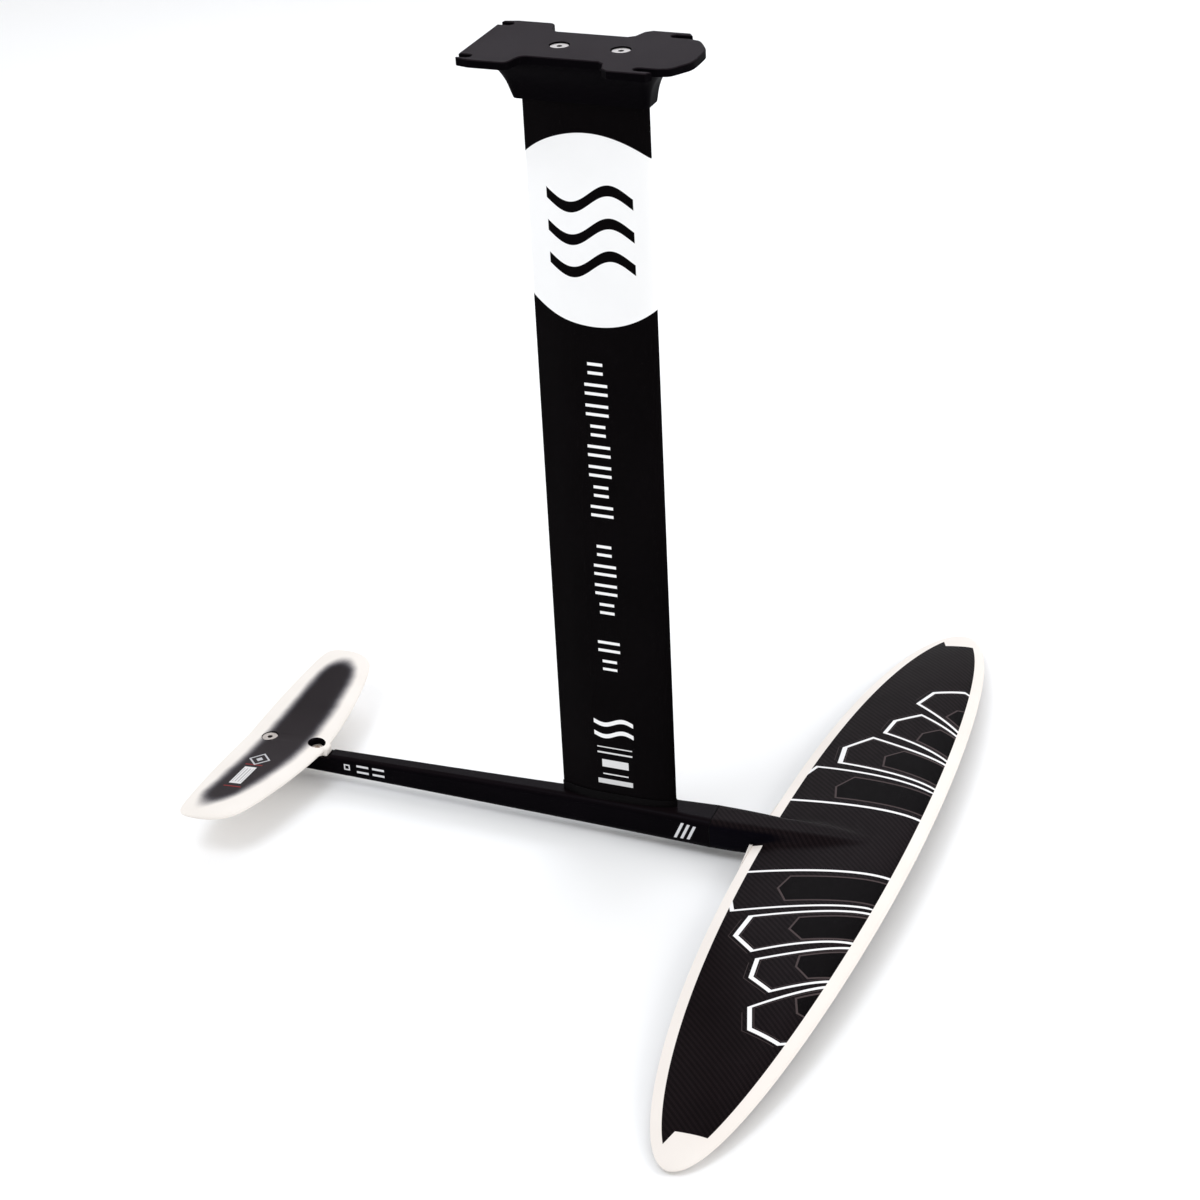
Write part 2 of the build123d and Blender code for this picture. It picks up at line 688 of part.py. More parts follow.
with BuildPart() as rear_wing_bushes:
    for x, outer, top in zip(TAIL_BOLT_X, BUSH_OUTER, BUSH_TOP):
        add(bush(x, 0, PAD_Z, top, outer, M8 + 0.5))
    add(post(TAIL_BOLT_X[0], 0, BUSH_FLOOR, TAIL_Z + 9, BUSH_OUTER[0] - 2 * BUSH_WALL), mode=Mode.SUBTRACT)
    add(
        flat_head_cutter(TAIL_BOLT_X[1], 0, BUSH_TOP[1] - TAIL_FLAT_SINK, M8, TAIL_FLAT_HEAD, 5, play=0.25),
        mode=Mode.SUBTRACT,
    )
rear_wing_bushes.part.label = "rear_wing_bushes"

with BuildPart() as rear_wing_cap_bolt:
    with BuildSketch(Plane.XY.offset(BUSH_FLOOR)):
        with Locations((TAIL_BOLT_X[0], 0)):
            Circle(CAP_HEAD / 2)
    extrude(amount=CAP_TALL)
    chamfer(rear_wing_cap_bolt.faces().sort_by(Axis.Z)[-1].edges(), 0.6)
    with BuildSketch(Plane.XY.offset(BUSH_FLOOR)):
        with Locations((TAIL_BOLT_X[0], 0)):
            Circle(M8 / 2)
    extrude(amount=-CAP_LENGTH)
    with BuildSketch(Plane.XY.offset(BUSH_FLOOR + CAP_TALL)):
        with Locations((TAIL_BOLT_X[0], 0)):
            RegularPolygon(CAP_HEX, 6)
    extrude(amount=-CAP_HEX_DEPTH, mode=Mode.SUBTRACT)
rear_wing_cap_bolt.part.label = "rear_wing_cap_bolt"

with BuildPart() as rear_wing_flat_bolt:
    add(flat_head_bolt(TAIL_BOLT_X[1], 0, BUSH_TOP[1] - TAIL_FLAT_SINK, M8, TAIL_FLAT_HEAD, 18.0))
rear_wing_flat_bolt.part.label = "rear_wing_flat_bolt"

with BuildPart() as tail_shim:
    add(flat_block(PAD_REAR, TAIL_NOSE_X - 1, PAD_WIDE, TAIL_SEAT_Z, PAD_Z))
    for x in TAIL_BOLT_X:
        add(post(x, 0, TAIL_SEAT_Z - 1, PAD_Z + 1, M8 + 0.5), mode=Mode.SUBTRACT)
tail_shim.part.label = "tail_shim"

# ------------------------------------------------------------------ write the parts
os.makedirs("parts", exist_ok=True)
PIECES = (
    top_plate, mast_collar, mast, mast_head_inserts, mast_foot_inserts, mast_head_plugs,
    mast_foot_plugs, plate_bolts, fuselage, mast_bolts, mast_foot_boot, fuselage_nose_inserts,
    fuselage_tail_inserts, front_wing_top_skin, front_wing_bottom_skin, front_wing_socket,
    front_wing_core, front_wing_seal, front_wing_bolts, rear_wing_top_skin,
    rear_wing_bottom_skin, rear_wing_core, rear_wing_bushes, rear_wing_cap_bolt,
    rear_wing_flat_bolt, tail_shim,
)
for piece in PIECES:
    export_step(piece.part, f"parts/{piece.part.label}.step")
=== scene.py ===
import json
import math

import bpy
import numpy as np
from mathutils import Matrix, Vector


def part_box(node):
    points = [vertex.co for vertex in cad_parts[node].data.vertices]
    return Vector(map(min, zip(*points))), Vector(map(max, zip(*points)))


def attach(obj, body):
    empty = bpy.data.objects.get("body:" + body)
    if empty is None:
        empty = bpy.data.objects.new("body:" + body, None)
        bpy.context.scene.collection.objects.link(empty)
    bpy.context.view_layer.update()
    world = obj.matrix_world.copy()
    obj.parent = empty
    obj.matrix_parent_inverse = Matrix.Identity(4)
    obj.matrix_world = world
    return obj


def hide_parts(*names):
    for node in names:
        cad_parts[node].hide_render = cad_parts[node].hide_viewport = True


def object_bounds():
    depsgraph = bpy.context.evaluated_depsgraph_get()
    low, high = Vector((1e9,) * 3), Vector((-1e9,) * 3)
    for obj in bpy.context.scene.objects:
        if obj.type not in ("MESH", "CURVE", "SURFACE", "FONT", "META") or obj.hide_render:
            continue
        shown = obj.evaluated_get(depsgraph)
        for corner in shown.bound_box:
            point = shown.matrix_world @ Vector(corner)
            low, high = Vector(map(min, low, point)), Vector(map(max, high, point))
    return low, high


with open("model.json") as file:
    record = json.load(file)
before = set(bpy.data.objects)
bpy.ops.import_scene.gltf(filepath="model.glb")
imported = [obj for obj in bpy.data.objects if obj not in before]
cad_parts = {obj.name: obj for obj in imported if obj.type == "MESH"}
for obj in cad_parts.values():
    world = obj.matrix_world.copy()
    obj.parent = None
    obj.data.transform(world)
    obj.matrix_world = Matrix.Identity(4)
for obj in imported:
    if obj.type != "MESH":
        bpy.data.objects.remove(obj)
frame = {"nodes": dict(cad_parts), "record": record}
CAD_LOW, CAD_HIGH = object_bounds()
NODES = frame["nodes"]

# Lengths are in millimetres, in the CAD's frame, unless a comment says metres.
MM = 0.001
BOX_MARGIN = 0.02
FOIL_Z = -740.5

# ------------------------------------------------------------------ meshes

def form(t):
    """Height of the foil section at the fraction t of the chord, 1 at its thickest."""
    return 10 * (0.2969 * np.sqrt(t) - 0.126 * t - 0.3516 * t**2 + 0.2843 * t**3 - 0.1036 * t**4)


def add_mesh(name, points, faces, smooth=True):
    """A new mesh object from points in millimetres."""
    mesh = bpy.data.meshes.new(name)
    mesh.from_pydata([tuple(float(c) * MM for c in p) for p in points], [], faces)
    mesh.validate()
    mesh.update()
    for polygon in mesh.polygons:
        polygon.use_smooth = smooth
    piece = bpy.data.objects.new(name, mesh)
    bpy.context.scene.collection.objects.link(piece)
    return piece


class Net:
    """Points and faces of one mesh, with points merged by key."""

    def __init__(self):
        self.points = []
        self.keys = {}
        self.faces = []

    def point(self, key, xyz):
        if key not in self.keys:
            self.keys[key] = len(self.points)
            self.points.append(xyz)
        return self.keys[key]

    def face(self, *corners):
        kept = []
        for c in corners:
            if c not in kept:
                kept.append(c)
        if len(kept) > 2:
            self.faces.append(kept)


# ------------------------------------------------------------------ front wing
WING_X = 218.5
WING_CHORD = 154.94
WING_TE_Z = FOIL_Z - 22.5
WING_PITCH = 0.036
WING_DROOP = 22.5
WING_UPPER = 12.4
WING_LOWER = 5.4
WING_EDGE = 0.6
WING_SPAN = min(457.0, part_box("front_wing_top_skin")[1].y / MM - BOX_MARGIN)
WING_TE_X = WING_X - WING_CHORD / 2
NECK_X = (98.0, 130.0, 165.0, 200.0, 230.0, 256.0, 270.0, 296.0)
NECK_WIDE = (37.6, 36.0, 31.0, 23.5, 14.0, 5.0, 3.0, 2.0)
NECK_TOP = (-4.8, -4.7, -4.9, -5.8, -8.4, -12.6, -16.6, -17.0)
NECK_LOW = (-37.0, -36.6, -35.0, -32.0, -28.2, -22.8, -19.2, -18.0)
CORNER_SHARE = 0.26
NECK_END = 43.0
WING_ROWS = 46
WING_FAR_COLUMNS = 52
NECK_COLUMNS = 12
NECK_ROWS = 14
# distances outboard of the neck's side of the first columns, and where the even ones start
CLOSE_OFFSETS = [0.5, 1.1, 1.9, 2.9, 4.2, 5.8, 7.8, 10.2, 13.0, 16.5, 21.0, 27.0]
ROOT_HALF = 19
FILLET_REACH = 30


def smooth_table(x, xs, values):
    """Catmull-Rom value of a table at x, held at its ends."""
    if x <= xs[0]:
        return values[0]
    if x >= xs[-1]:
        return values[-1]
    i = max(j for j in range(len(xs) - 1) if xs[j] <= x)
    h = xs[i + 1] - xs[i]
    u = (x - xs[i]) / h

    def slope(j):
        if j == 0:
            return (values[1] - values[0]) / (xs[1] - xs[0])
        if j == len(xs) - 1:
            return (values[j] - values[j - 1]) / (xs[j] - xs[j - 1])
        return (values[j + 1] - values[j - 1]) / (xs[j + 1] - xs[j - 1])

    a, b = slope(i) * h, slope(i + 1) * h
    return (
        values[i] * (2 * u**3 - 3 * u**2 + 1) + a * (u**3 - 2 * u**2 + u)
        + values[i + 1] * (3 * u**2 - 2 * u**3) + b * (u**3 - u**2)
    )


def wing_scale(y):
    return math.sqrt(max(0.0, 1 - (y / WING_SPAN) ** 2))


def wing_chord_z(x, y):
    return WING_TE_Z + WING_PITCH * (x - WING_TE_X) - WING_DROOP * abs(y / 457.0) ** 3


def wing_skin_z(x, y, side):
    """Height of the wing's upper (1) or lower (-1) surface."""
    scale = wing_scale(y)
    nose = WING_X + scale * WING_CHORD / 2
    t = min(max((nose - x) / max(scale * WING_CHORD, 1e-6), 0.0), 1.0)
    height = WING_UPPER if side > 0 else WING_LOWER
    return wing_chord_z(x, y) + side * (height * scale * form(t) + WING_EDGE * t)


def box_distance(y, z, wide, tall, radius):
    """Distance outside a rounded oblong centred on 0."""
    a = abs(y) - (wide / 2 - radius)
    b = abs(z) - (tall / 2 - radius)
    return math.hypot(max(a, 0), max(b, 0)) + min(max(a, b), 0) - radius


def soft_min(a, b, k):
    h = max(k - abs(a - b), 0) / k
    return min(a, b) - h * h * k / 4


def hull_distance(x, y, z, side, blend):
    """Negative inside the neck or under the wing's skin on that side."""
    wide = smooth_table(x, NECK_X, NECK_WIDE)
    top = FOIL_Z + smooth_table(x, NECK_X, NECK_TOP)
    low = FOIL_Z + smooth_table(x, NECK_X, NECK_LOW)
    radius = CORNER_SHARE * min(wide, top - low)
    neck = box_distance(y, z - (top + low) / 2, wide, top - low, radius)
    if x < WING_TE_X:
        return neck
    skin = side * (z - wing_skin_z(x, y, side)) * 0.97
    return soft_min(neck, skin, blend)


def cast(x, y, z, dy, dz, side, blend, reach=60.0):
    """First point on the hull along a ray that starts inside it."""
    low, high = 0.0, reach
    for _ in range(34):
        mid = (low + high) / 2
        if hull_distance(x, y + dy * mid, z + dz * mid, side, blend) < 0:
            low = mid
        else:
            high = mid
    return y + dy * low, z + dz * low


def front_wing_offsets():
    """Spanwise distances of the columns from the neck's side."""
    start = math.asin((ROOT_HALF + CLOSE_OFFSETS[-1]) / WING_SPAN)
    step = (math.pi / 2 - start) / WING_FAR_COLUMNS
    angles = [start + step * i for i in range(1, WING_FAR_COLUMNS + 1)]
    return CLOSE_OFFSETS + [WING_SPAN * math.sin(a) - ROOT_HALF for a in angles]


WING_OFFSETS = front_wing_offsets()
WING_LAST = NECK_COLUMNS + len(WING_OFFSETS)


def front_wing_point(x, t, j, side):
    """Point of column j in the row at x, the fraction t of the chord, on the port half."""
    wide = max(smooth_table(x, NECK_X, NECK_WIDE), 11.0)
    share = min(max((x - WING_TE_X) / 30.0, 0.0), 1.0)
    fade = min(max((x - 205.0) / 45.0, 0.0), 1.0)
    end = min(max((x - 242.0) / 30.0, 0.0), 1.0)
    blend = 0.3 + (1.3 + 14.0 * share * (1 - 0.55 * fade)) * (1 - end)
    if j <= NECK_COLUMNS:
        centre = wing_chord_z(x, 0)
        rise = 0.0
        if x > WING_TE_X:
            rise = abs(wing_skin_z(x, wide / 2, side) - centre) + 0.28 * blend
        lowest = math.atan2(rise, wide / 2)
        angle = math.pi / 2 + (lowest - math.pi / 2) * (j / NECK_COLUMNS) ** 0.85
        y, z = cast(x, 0.0, centre, math.cos(angle), side * math.sin(angle), side, blend)
        return x, y, z
    offset = WING_OFFSETS[j - NECK_COLUMNS - 1]
    y = wide / 2 + offset * (WING_SPAN - wide / 2) / (WING_SPAN - ROOT_HALF)
    px = WING_X + wing_scale(y) * WING_CHORD * (0.5 - t)
    if j == WING_LAST:
        return px, WING_SPAN, wing_chord_z(px, WING_SPAN)
    z = wing_skin_z(px, y, side)
    if offset < FILLET_REACH:
        inner = wing_chord_z(px, y) + side * 0.3
        z = cast(px, y, inner, 0.0, side, side, blend)[1]
    return px, y, z


def turned(corners, flip):
    """The corners of a face, in the reverse order if flip is set."""
    return corners[::-1] if flip else corners


def make_front_wing():
    """Both skins and the neck as one closed mesh."""
    net = Net()
    grid = {}
    for i in range(WING_ROWS + 1):
        t = 0.5 - 0.5 * math.cos(math.pi * i / WING_ROWS)
        t = t if t < 0.5 else 0.5 + (t - 0.5) ** 0.92 * 0.5 ** 0.08
        x = WING_X + WING_CHORD * (0.5 - t)
        for side in (1, -1):
            for j in range(WING_LAST + 1):
                px, py, pz = front_wing_point(x, t, j, side)
                if i == 0:
                    py, pz = py if j else 0.0, wing_chord_z(px, py)
                for half in (1, -1):
                    key = (i, j, half if j else 0, 0 if i == 0 else side)
                    if j == WING_LAST:
                        key = ("tip", half)
                    grid[i, side, half, j] = net.point(key, (px, half * py, pz))
    for k in range(1, NECK_ROWS + 1):
        i, x = WING_ROWS + k, WING_TE_X - NECK_END * k / NECK_ROWS
        for side in (1, -1):
            for j in range(NECK_COLUMNS + 1):
                px, py, pz = front_wing_point(x, 1.0, j, side)
                for half in (1, -1):
                    key = (i, j, half if j else 0, 0 if j == NECK_COLUMNS else side)
                    grid[i, side, half, j] = net.point(key, (px, half * py, pz))
    rear = WING_ROWS + NECK_ROWS
    for side in (1, -1):
        for half in (1, -1):
            for i in range(rear):
                for j in range(WING_LAST if i < WING_ROWS else NECK_COLUMNS):
                    corners = [
                        grid[i, side, half, j], grid[i, side, half, j + 1],
                        grid[i + 1, side, half, j + 1], grid[i + 1, side, half, j],
                    ]
                    net.face(*turned(corners, side * half < 0))
    for half in (1, -1):
        # the blunt trailing edge, and the small triangle where it meets the neck
        for j in range(NECK_COLUMNS, WING_LAST):
            corners = [
                grid[WING_ROWS, 1, half, j], grid[WING_ROWS, 1, half, j + 1],
                grid[WING_ROWS, -1, half, j + 1], grid[WING_ROWS, -1, half, j],
            ]
            net.face(*turned(corners, half < 0))
        corners = [
            grid[WING_ROWS, 1, half, NECK_COLUMNS], grid[WING_ROWS, -1, half, NECK_COLUMNS],
            grid[WING_ROWS + 1, 1, half, NECK_COLUMNS],
        ]
        net.face(*turned(corners, half > 0))
    ring = [grid[rear, 1, 1, j] for j in range(NECK_COLUMNS + 1)]
    ring += [grid[rear, -1, 1, j] for j in range(NECK_COLUMNS - 1, -1, -1)]
    ring += [grid[rear, -1, -1, j] for j in range(1, NECK_COLUMNS + 1)]
    ring += [grid[rear, 1, -1, j] for j in range(NECK_COLUMNS - 1, 0, -1)]
    net.face(*ring)
    return add_mesh("front_wing_shell", net.points, net.faces)


front_wing = make_front_wing()

# ------------------------------------------------------------------ rear wing
TAIL_MID_X = -361.1
TAIL_SPAN = min(168.2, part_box("rear_wing_top_skin")[1].y / MM - BOX_MARGIN)
TAIL_HALF_CHORD = 44.3
TAIL_TAPER = 17.5
TAIL_SWEEP = 8.0
TAIL_TIP_SWEEP = 7.0
TAIL_RISE = 10.3
TAIL_PITCH = 0.008
TAIL_Z = FOIL_Z - 10.5
TAIL_UPPER = 5.0
TAIL_LOWER = 3.4
TAIL_EDGE = 0.5
TAIL_ROWS = 34
TAIL_FAR_COLUMNS = 46
# spanwise places of the columns near the middle, where the tongue and the pad end
TAIL_INNER = [0.0, 2.0, 4.0, 5.2, 6.2, 6.7, 8.0, 11.0]
TAIL_EVEN_START = 14.0
TONGUE = 2.4
TONGUE_HALF = 6.7
# place and radius of the screw holes
TAIL_BOLTS = ((-328.0, 9.02), (-381.1, 8.62))
PAD_Z = FOIL_Z - 16.0
PAD_HALF = 6.5
PAD_REAR = -395.0
BOSS_WALL = 1.2


def tail_chord(s):
    """Nose, tail and height scale of the rear wing at the fraction s of its half span."""
    middle = TAIL_MID_X - TAIL_SWEEP * s**1.25 - TAIL_TIP_SWEEP * s**16
    half = (TAIL_HALF_CHORD - TAIL_TAPER * s**2) * max(0.0, 1 - s**20) ** 0.424
    return middle + half, middle - half, half / TAIL_HALF_CHORD


def make_rear_wing():
    """Both skins, the tongue and the pad as one closed mesh."""
    net = Net()
    rows = TAIL_ROWS
    start = math.asin(TAIL_EVEN_START / TAIL_SPAN)
    step = (math.pi / 2 - start) / TAIL_FAR_COLUMNS
    columns = TAIL_INNER + [
        TAIL_SPAN * math.sin(start + step * i) for i in range(TAIL_FAR_COLUMNS + 1)
    ]
    last = len(columns) - 1
    grid = {}
    for i in range(rows + 1):
        t = 0.5 - 0.5 * math.cos(math.pi * i / rows)
        for j, y in enumerate(columns):
            s = min(y / TAIL_SPAN, 1.0)
            nose, tail, scale = tail_chord(s)
            nose += TONGUE * min(max(TONGUE_HALF - y, 0.0), 1.0)
            x = nose + (tail - nose) * t
            chord_z = TAIL_Z + TAIL_PITCH * (x - TAIL_MID_X) + TAIL_RISE * s**1.4
            for side in (1, -1):
                height = TAIL_UPPER if side > 0 else TAIL_LOWER
                z = chord_z + side * (height * scale * form(t) + TAIL_EDGE * t)
                if side < 0 and y < PAD_HALF and x > PAD_REAR and i > 0:
                    z = min(z, PAD_Z + BOX_MARGIN)
                if j == last:
                    z = chord_z
                for half in (1, -1):
                    key = ("tip", i, half) if j == last else (
                        i, j, half if j else 0, 0 if i == 0 else side
                    )
                    grid[i, side, half, j] = net.point(key, (x, half * y, z))
    for half in (1, -1):
        for side in (1, -1):
            for i in range(rows):
                for j in range(last):
                    corners = [
                        grid[i, side, half, j], grid[i, side, half, j + 1],
                        grid[i + 1, side, half, j + 1], grid[i + 1, side, half, j],
                    ]
                    net.face(*turned(corners, side * half < 0))
        for j in range(last):
            corners = [
                grid[rows, 1, half, j], grid[rows, 1, half, j + 1],
                grid[rows, -1, half, j + 1], grid[rows, -1, half, j],
            ]
            net.face(*turned(corners, half < 0))
    return add_mesh("rear_wing_shell", net.points, net.faces)


def with_round(piece, x, z_low, z_high, radius, operation):
    """Join a round post on the middle plane to the piece (UNION) or cut it out (DIFFERENCE)."""
    count = 64
    angles = [2 * math.pi * k / count for k in range(count)]
    ring = [(x + radius * math.cos(a), radius * math.sin(a)) for a in angles]
    points = [(px, py, z_low) for px, py in ring] + [(px, py, z_high) for px, py in ring]
    faces = [list(range(count - 1, -1, -1)), list(range(count, 2 * count))]
    faces += [[k, (k + 1) % count, count + (k + 1) % count, count + k] for k in range(count)]
    cutter = add_mesh("cutter", points, faces)
    modifier = piece.modifiers.new("cut", "BOOLEAN")
    modifier.operation = operation
    modifier.solver = "EXACT"
    modifier.object = cutter
    bpy.context.view_layer.update()
    graph = bpy.context.evaluated_depsgraph_get()
    mesh = bpy.data.meshes.new_from_object(piece.evaluated_get(graph))
    piece.modifiers.clear()
    piece.data = mesh
    bpy.data.objects.remove(cutter)


# place of the front wing's screws and height of their heads
FRONT_BOLTS = ((124.0, FOIL_Z - 36.3), (178.0, FOIL_Z - 33.6))
FRONT_BOLT_HOLE = 7.95

rear_wing = make_rear_wing()
for bolt_x, bolt_radius in TAIL_BOLTS:
    with_round(rear_wing, bolt_x, PAD_Z, TAIL_Z - 1.0, bolt_radius + BOSS_WALL, "UNION")
for bolt_x, bolt_radius in TAIL_BOLTS:
    with_round(rear_wing, bolt_x, FOIL_Z - 25.0, FOIL_Z + 5.0, bolt_radius, "DIFFERENCE")
for bolt_x, head_z in FRONT_BOLTS:
    with_round(front_wing, bolt_x, head_z - 20.0, head_z + 3.0, FRONT_BOLT_HOLE, "DIFFERENCE")
for piece in (front_wing, rear_wing):
    piece.data.set_sharp_from_angle(angle=math.radians(40))

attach(front_wing, "root")
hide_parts("front_wing_top_skin", "front_wing_bottom_skin")
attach(rear_wing, "root")
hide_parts("rear_wing_top_skin", "rear_wing_bottom_skin")

# ------------------------------------------------------------------ material graph helpers


class Term:
    """One number in a material graph, with arithmetic that adds the nodes."""

    def __init__(self, graph, value):
        self.graph = graph
        self.value = value

    def op(self, kind, *others, clamp=False):
        node = self.graph.tree.nodes.new("ShaderNodeMath")
        node.operation = kind
        node.use_clamp = clamp
        for socket, term in zip(node.inputs, (self,) + others):
            self.graph.feed(socket, term)
        return Term(self.graph, node.outputs[0])

    def __add__(self, other):
        return self.op("ADD", other)

    def __sub__(self, other):
        return self.op("SUBTRACT", other)

    def __mul__(self, other):
        return self.op("MULTIPLY", other)

    def __truediv__(self, other):
        return self.op("DIVIDE", other)

    def __neg__(self):
        return self.op("MULTIPLY", -1.0)

    def __pow__(self, other):
        return self.op("POWER", other)

    def least(self, other):
        return self.op("MINIMUM", other)

    def most(self, other):
        return self.op("MAXIMUM", other)

    def size(self):
        return self.op("ABSOLUTE")

    def root(self):
        return self.op("SQRT")

    def wave(self):
        return self.op("SINE")

    def inverse(self):
        node = self.graph.tree.nodes.new("ShaderNodeMath")
        node.operation = "SUBTRACT"
        node.inputs[0].default_value = 1.0
        self.graph.feed(node.inputs[1], self)
        return Term(self.graph, node.outputs[0])

    def inside(self, soft=0.18):
        """1 where the term is below 0, with a soft edge."""
        return self.op("MULTIPLY_ADD", -1.0 / soft, 0.5, clamp=True)


class Graph:
    """A Principled material whose nodes are added by calls."""

    def __init__(self, name, **settings):
        self.material = bpy.data.materials.new(name)
        self.material.use_nodes = True
        self.tree = self.material.node_tree
        self.shader = self.tree.nodes["Principled BSDF"]
        for key, value in settings.items():
            self.shader.inputs[key.replace("_", " ")].default_value = value
        coordinates = self.tree.nodes.new("ShaderNodeTexCoord")
        scaled = self.tree.nodes.new("ShaderNodeVectorMath")
        scaled.operation = "SCALE"
        scaled.inputs["Scale"].default_value = 1 / MM
        self.tree.links.new(coordinates.outputs["Object"], scaled.inputs[0])
        self.place = scaled.outputs[0]
        split = self.tree.nodes.new("ShaderNodeSeparateXYZ")
        self.tree.links.new(self.place, split.inputs[0])
        self.x, self.y, self.z = (Term(self, s) for s in split.outputs)

    def feed(self, socket, term):
        if isinstance(term, Term):
            self.tree.links.new(term.value, socket)
        elif isinstance(term, bpy.types.NodeSocket):
            self.tree.links.new(term, socket)
        else:
            socket.default_value = term

    def up(self):
        """The surface normal's Z."""
        geometry = self.tree.nodes.new("ShaderNodeNewGeometry")
        split = self.tree.nodes.new("ShaderNodeSeparateXYZ")
        self.tree.links.new(geometry.outputs["Normal"], split.inputs[0])
        return Term(self, split.outputs[2])

    def noise(self, scale, detail=2.0, roughness=0.5, stretch=None):
        """Noise between about 0.3 and 0.7; scale is in cells per millimetre."""
        node = self.tree.nodes.new("ShaderNodeTexNoise")
        node.inputs["Scale"].default_value = scale
        node.inputs["Detail"].default_value = detail
        node.inputs["Roughness"].default_value = roughness
        source = self.place
        if stretch:
            scaled = self.tree.nodes.new("ShaderNodeVectorMath")
            scaled.operation = "MULTIPLY"
            scaled.inputs[1].default_value = stretch
            self.tree.links.new(self.place, scaled.inputs[0])
            source = scaled.outputs[0]
        self.tree.links.new(source, node.inputs["Vector"])
        return Term(self, node.outputs["Fac"])

    def mix(self, factor, a, b):
        """Colour a where the factor is 0 and b where it is 1."""
        node = self.tree.nodes.new("ShaderNodeMix")
        node.data_type = "RGBA"
        self.feed(node.inputs["Factor"], factor)
        for socket, colour in ((node.inputs[6], a), (node.inputs[7], b)):
            linked = isinstance(colour, bpy.types.NodeSocket)
            self.feed(socket, colour if linked else (*colour, 1.0))
        return node.outputs[2]

    def blend(self, factor, a, b):
        """Number a where the factor is 0 and b where it is 1."""
        node = self.tree.nodes.new("ShaderNodeMix")
        self.feed(node.inputs["Factor"], factor)
        self.feed(node.inputs[2], a)
        self.feed(node.inputs[3], b)
        return Term(self, node.outputs[0])

    def paint(self, colour, rough, height=None, step=0.02, strength=1.0):
        """Link the colour, roughness and bump; step is the bump's height in millimetres."""
        self.feed(self.shader.inputs["Base Color"], colour)
        self.feed(self.shader.inputs["Roughness"], rough)
        if height is not None:
            bump = self.tree.nodes.new("ShaderNodeBump")
            bump.inputs["Strength"].default_value = strength
            bump.inputs["Distance"].default_value = step * MM
            self.feed(bump.inputs["Height"], height)
            self.tree.links.new(bump.outputs[0], self.shader.inputs["Normal"])
        return self.material


def edge(graph, p, q, u, v):
    """Signed distance of (u, v) from the line p to q, negative on its left."""
    dx, dy = q[0] - p[0], q[1] - p[1]
    length = math.hypot(dx, dy)
    nx, ny = dy / length, -dx / length
    return u * nx + v * ny - (p[0] * nx + p[1] * ny)


def curve(u, x0, a, b, c):
    """a + b (u - x0) + c (u - x0)^2"""
    d = u - x0
    if not c:
        return d * b + a
    return (d * c + b) * d + a


# ------------------------------------------------------------------ front wing paint
# Panels of the front wing: the upper border line, two straight ends and the lower border line.
PANELS = (
    {"top": (179.5, 135.9, -0.262, -0.00007), "a": (179.5, 135.9), "b": (175.3, 166.3),
     "c": (198.2, 187.4), "low": (198.2, 187.4, -0.49, 0.0011), "ab": 2.5, "bc": 1.9},
    {"top": (206.9, 198.5, -0.466, -0.0005), "a": (206.9, 198.5), "b": (209.8, 224.5),
     "c": (232.8, 240.6), "low": (232.8, 240.6, -0.657, 0.0), "ab": 2.1, "bc": 1.9},
    {"top": (222.3, 264.5, -0.83, 0.0), "a": (222.3, 264.5), "b": (231.5, 291.8),
     "c": (261.3, 302.6), "low": (261.3, 302.6, -0.6, 0.0), "ab": 2.0, "bc": 2.1},
)
INSETS = (
    ((195.5, 69.4), (189.9, 89.5), (202.8, 108.6), -0.116, -0.175),
    ((224.4, 132.6), (221.1, 151.0), (236.7, 164.3), -0.303, -0.323),
    ((242.7, 187.6), (244.3, 202.9), (259.0, 215.5), -0.525, -0.5),
    ((257.5, 243.8), (264.2, 261.2), (271.5, 263.0), -0.84, -0.9),
)
LINE_HALF = 1.35
INSET_HALF = 0.95
NOSE_BAND = 10.4
TAIL_BAND = 10.2
BAND_START = 19.5
TIP_INNER = (209.4, 417.8)
TIP_OUTER = (204.3, 430.7)
TIP_SLOPE = 0.06
TWILL_TOW = 1.5


def joined(mask, more):
    """The larger of two masks, of which the first may be missing."""
    return more if mask is None else mask.most(more)


def ring_mask(terms, halves):
    """Signed distances from the border's outer and inner outline, from those of its edges."""
    outer = inner = None
    for term, half in zip(terms, halves):
        outer = joined(outer, term - half)
        inner = joined(inner, term + half)
    return outer, inner


def twill(graph, u, v, tow):
    """Height and direction masks of a 2 by 2 twill with tows of that width."""
    across = u / tow
    along = v / tow
    column = across.op("FLOOR")
    row = along.op("FLOOR")
    phase = (column + row).op("FLOORED_MODULO", 4.0)
    warp = phase.op("LESS_THAN", 1.5)
    hump_u = ((across - column) - 0.5).size()
    hump_v = ((along - row) - 0.5).size()
    tall = graph.blend(warp, hump_v, hump_u)
    return warp, (tall * tall * 4.0).inverse()


